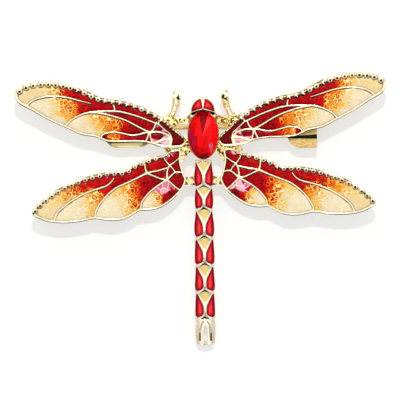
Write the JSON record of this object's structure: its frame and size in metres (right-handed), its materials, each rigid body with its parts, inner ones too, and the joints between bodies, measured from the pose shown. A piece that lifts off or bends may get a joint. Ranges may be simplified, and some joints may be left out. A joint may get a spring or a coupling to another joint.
{
  "type": "dragonfly brooch",
  "caption": "Dragonfly brooch with enamelled cell wings and beaded edges, an oval cut stone, a jointed abdomen and a hinged pin that closes into a catch on the back.",
  "frame": {"origin": "middle of the brooch's box, on the table it lies on", "axes": "+X to the wing tip on the picture's right, +Y to the head, +Z out of the face, up from the table"},
  "size_m": [0.0744, 0.0545, 0.0068],
  "materials": {
    "gold_plate": "polished pale gold plate on a cast zinc alloy",
    "gold_pin": "smooth pale gold plate on steel wire",
    "red_glass": "cut and polished, foiled back",
    "enamel_wing": "glossy red enamel that fades through orange to cream at the wing tips",
    "enamel_body": "glossy red enamel"
  },
  "bodies": {
    "brooch": {"gold_casting": "gold_plate", "stone": "red_glass", "hinge_rivet": "gold_pin", "enamel_front_left": "enamel_wing", "enamel_front_right": "enamel_wing", "enamel_rear_left": "enamel_wing", "enamel_rear_right": "enamel_wing", "enamel_head_left": "enamel_body", "enamel_head_right": "enamel_body", "enamel_abdomen_1": "enamel_body", "enamel_abdomen_2": "enamel_body", "enamel_abdomen_3": "enamel_body", "enamel_abdomen_4": "enamel_body", "enamel_abdomen_5": "enamel_body", "enamel_abdomen_6": "enamel_body"},
    "pin": {"pin_stem": "gold_pin"}
  },
  "joints": [
    {"name": "pin_hinge", "type": "hinge", "parent": "brooch", "child": "pin", "pos_m": [-0.01512, 0.01647, 0.00124], "axis": [0, 1, 0], "range_deg": [0, 75]}
  ]
}
